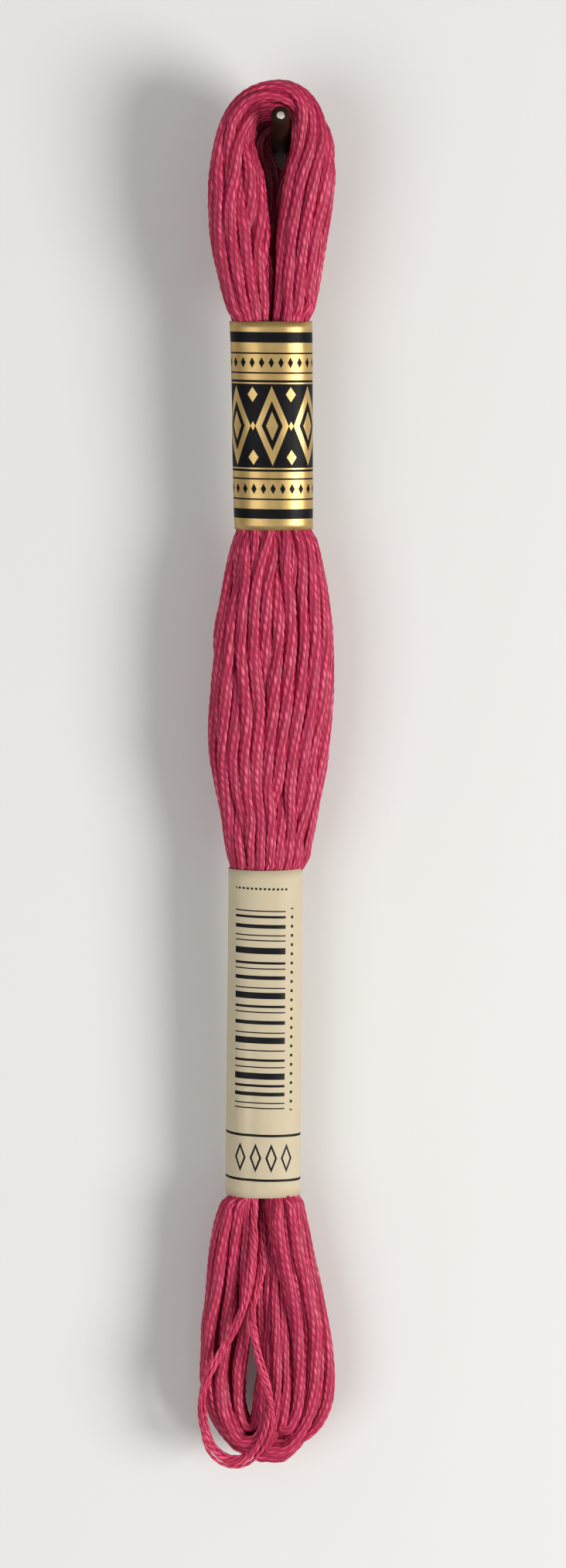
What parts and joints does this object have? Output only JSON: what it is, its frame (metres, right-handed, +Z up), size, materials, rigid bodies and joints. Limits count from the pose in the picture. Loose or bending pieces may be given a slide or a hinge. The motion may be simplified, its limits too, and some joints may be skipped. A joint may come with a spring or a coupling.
{
  "type": "skein of embroidery floss on a nail",
  "caption": "Doubled skein of six-strand embroidery floss in two paper bands, hung by its upper loop on a sloping wall nail.",
  "frame": {"origin": "middle of the nail's end face, on the wall", "axes": "+X to the skein's right as it is looked at, +Y into the wall, +Z up along the skein"},
  "size_m": [0.0164, 0.0161, 0.1656],
  "materials": {
    "floss": "mercerised cotton with a soft sheen",
    "gold_paper": "satin metallic print",
    "cream_paper": "satin",
    "steel": "dull, with a polished end"
  },
  "bodies": {
    "root": {"hank": "floss", "upper_band": "gold_paper", "lower_band": "cream_paper", "nail": "steel"}
  },
  "joints": []
}
